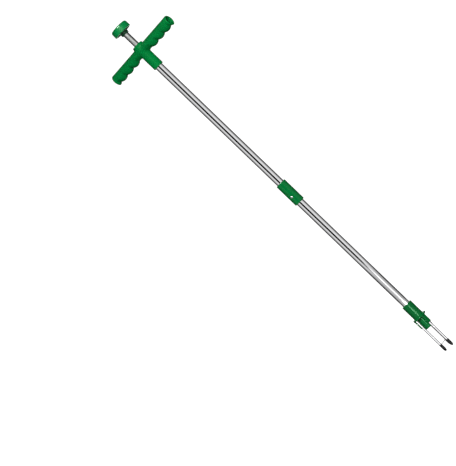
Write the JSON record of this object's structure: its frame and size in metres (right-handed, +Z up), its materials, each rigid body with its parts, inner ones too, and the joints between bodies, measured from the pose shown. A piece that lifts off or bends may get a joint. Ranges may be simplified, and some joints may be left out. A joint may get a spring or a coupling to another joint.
{
  "type": "stand-up weed puller",
  "caption": "Stand-up weed puller: T-handle, jointed steel shaft, sprung push-knob ejector and clawed head that twists weeds out of the ground.",
  "frame": {"origin": "on the shaft axis at the level of the tine tips' ends", "axes": "+Z up the shaft to the knob, handle arms along X, front with the snap button towards -Y"},
  "size_m": [0.168, 0.0376, 0.8581],
  "materials": {
    "green_plastic": "satin injection-moulded green",
    "dark_green_plastic": "satin dark green",
    "white_plastic": "natural nylon",
    "black_tip": "glossy black",
    "stainless_tube": "polished stainless with fine lengthwise draw lines",
    "tine_steel": "polished steel rod",
    "zinc_steel": "bright zinc plate"
  },
  "bodies": {
    "shaft": {"t_handle": "green_plastic", "guide_bush": "white_plastic", "handle_screw": "zinc_steel", "upper_tube": "stainless_tube", "lower_tube": "stainless_tube", "coupling_sleeve": "green_plastic", "coupling_rivet": "zinc_steel", "snap_spring": "zinc_steel", "return_spring": "zinc_steel", "spring_seat": "white_plastic", "head_socket": "green_plastic", "head_rivet": "zinc_steel", "rod_guide": "white_plastic", "tine_1": "tine_steel", "tine_tip_1": "black_tip", "tine_2": "tine_steel", "tine_tip_2": "black_tip", "tine_3": "tine_steel", "tine_tip_3": "black_tip", "tip_wire": "tine_steel"},
    "plunger": {"knob_cap": "green_plastic", "knob_collar": "dark_green_plastic", "plunger_tube": "stainless_tube", "plunger_end": "white_plastic", "plunger_pin": "zinc_steel", "push_rod_upper": "zinc_steel", "push_rod_lower": "zinc_steel", "rod_coupler": "zinc_steel", "core_locknut": "zinc_steel", "ejector_core": "green_plastic"},
    "button": {"snap_button": "zinc_steel"}
  },
  "joints": [
    {"name": "plunger_press", "type": "slide", "parent": "shaft", "child": "plunger", "axis": [0, 0, -1], "range_m": [0, 0.027], "stiffness_N_per_m": 250, "springref_m": -0.03, "deforming": ["return_spring"]},
    {"name": "button_press", "type": "slide", "parent": "shaft", "child": "button", "axis": [0, 1, 0], "range_m": [0, 0.0027], "stiffness_N_per_m": 800, "springref_m": -0.002, "deforming": ["snap_spring"]}
  ]
}
